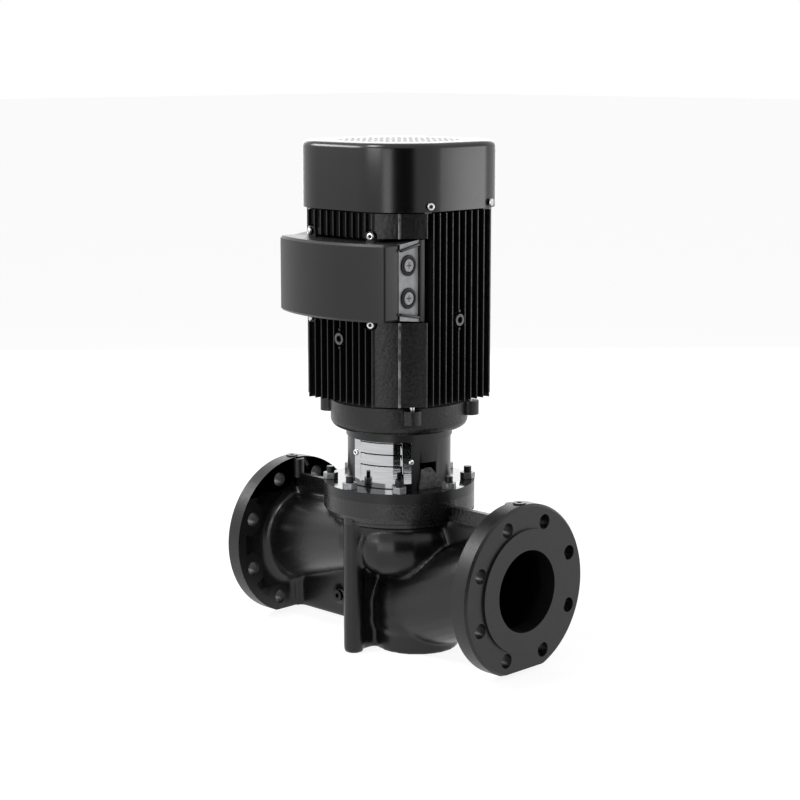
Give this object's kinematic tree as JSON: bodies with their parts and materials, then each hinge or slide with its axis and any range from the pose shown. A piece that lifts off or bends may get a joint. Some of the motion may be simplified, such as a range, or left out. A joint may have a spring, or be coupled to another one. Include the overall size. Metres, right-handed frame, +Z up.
{
  "type": "circulation pump",
  "caption": "In-line circulation pump with flanged cast casing, motor stool and upright finned motor; rotor turns in ball bearings.",
  "frame": {"origin": "on the shaft axis, in the plane of the foot", "axes": "+Z up along the shaft, +X towards the suction port, -Y towards the terminal box"},
  "size_m": [0.45, 0.254, 0.66],
  "materials": {
    "cast_iron_paint": "black paint on cast iron with a fine cast grain, semi-gloss",
    "motor_paint": "black paint on cast aluminium, semi-gloss",
    "cover_paint": "smooth black powder coat on pressed steel",
    "box_paint": "smooth black paint on die-cast aluminium",
    "box_base_paint": "dark grey grained paint on die-cast aluminium",
    "bronze": "turned bronze and brass",
    "raw_cast_iron": "machined grey cast iron",
    "gasket_fibre": "pressed fibre gasket",
    "steel": "ground and turned steel",
    "ceramic": "lapped ceramic",
    "carbon": "lapped carbon",
    "black_steel": "black oxide steel",
    "polished_sheet": "polished stainless sheet",
    "zinc_screw": "bright zinc plated steel",
    "lamination": "stacked electrical sheet",
    "copper_winding": "varnished copper wire",
    "cast_aluminium": "cast aluminium",
    "seal_rubber": "moulded black rubber",
    "fan_plastic": "moulded black polyamide",
    "terminal_plastic": "moulded red-brown phenolic"
  },
  "bodies": {
    "casing": {"pump_housing": "cast_iron_paint", "wear_ring": "bronze", "pump_cover": "raw_cast_iron", "cover_gasket": "gasket_fibre", "seal_seat": "ceramic", "motor_stool": "cast_iron_paint", "housing_studs": "black_steel", "housing_nuts": "black_steel", "guard_front": "polished_sheet", "guard_rear": "polished_sheet", "guard_screws": "zinc_screw", "drive_end_shield": "motor_paint", "shield_bolts": "zinc_screw", "stool_screws": "black_steel", "stator_frame": "motor_paint", "stator_core": "lamination", "stator_windings": "copper_winding", "drive_bearing_outer": "steel", "rear_bearing_outer": "steel", "bearing_wave_washer": "steel", "lip_seal": "seal_rubber", "rear_end_shield": "motor_paint", "rear_shield_screws": "steel", "fan_cover": "cover_paint", "fan_cover_screws": "zinc_screw", "terminal_box_base": "box_base_paint", "terminal_box_gasket": "seal_rubber", "terminal_box_cover": "box_paint", "terminal_box_screws": "zinc_screw", "terminal_board": "terminal_plastic", "terminal_studs": "bronze", "cable_entry_rings": "fan_plastic", "cable_entry_plugs": "fan_plastic", "gauge_plug_suction": "black_steel", "gauge_plug_discharge": "black_steel", "drain_plug": "black_steel"},
    "rotor": {"impeller": "raw_cast_iron", "impeller_washer": "steel", "impeller_nut": "steel", "pump_shaft": "steel", "seal_ring": "carbon", "seal_spring": "steel", "coupling_half_left": "raw_cast_iron", "coupling_half_right": "raw_cast_iron", "coupling_screws": "black_steel", "shaft_pin": "steel", "rotor_core": "lamination", "rotor_rings": "cast_aluminium", "motor_shaft": "steel", "drive_bearing_inner": "steel", "rear_bearing_inner": "steel", "fan": "fan_plastic", "fan_clip": "steel"},
    "drive_balls": {"drive_bearing_balls": "steel", "drive_bearing_cage": "bronze"},
    "rear_balls": {"rear_bearing_balls": "steel", "rear_bearing_cage": "bronze"},
    "vent": {"vent_screw": "bronze"}
  },
  "joints": [
    {"name": "shaft_turn", "type": "hinge", "parent": "casing", "child": "rotor", "pos_m": [0, 0, 0.25], "axis": [0, 0, 1], "continuous": true},
    {"name": "drive_balls_turn", "type": "hinge", "parent": "casing", "child": "drive_balls", "pos_m": [0, 0, 0.304], "axis": [0, 0, 1], "continuous": true},
    {"name": "rear_balls_turn", "type": "hinge", "parent": "casing", "child": "rear_balls", "pos_m": [0, 0, 0.57], "axis": [0, 0, 1], "continuous": true},
    {"name": "vent_turn", "type": "hinge", "parent": "casing", "child": "vent", "pos_m": [-0.04924, 0.00868, 0.2], "axis": [0, 0, 1], "range_deg": [0, 360]}
  ],
  "couplings": [
    {"joint": "drive_balls_turn", "follows": "shaft_turn", "ratio": 0.4061},
    {"joint": "rear_balls_turn", "follows": "shaft_turn", "ratio": 0.4053}
  ]
}
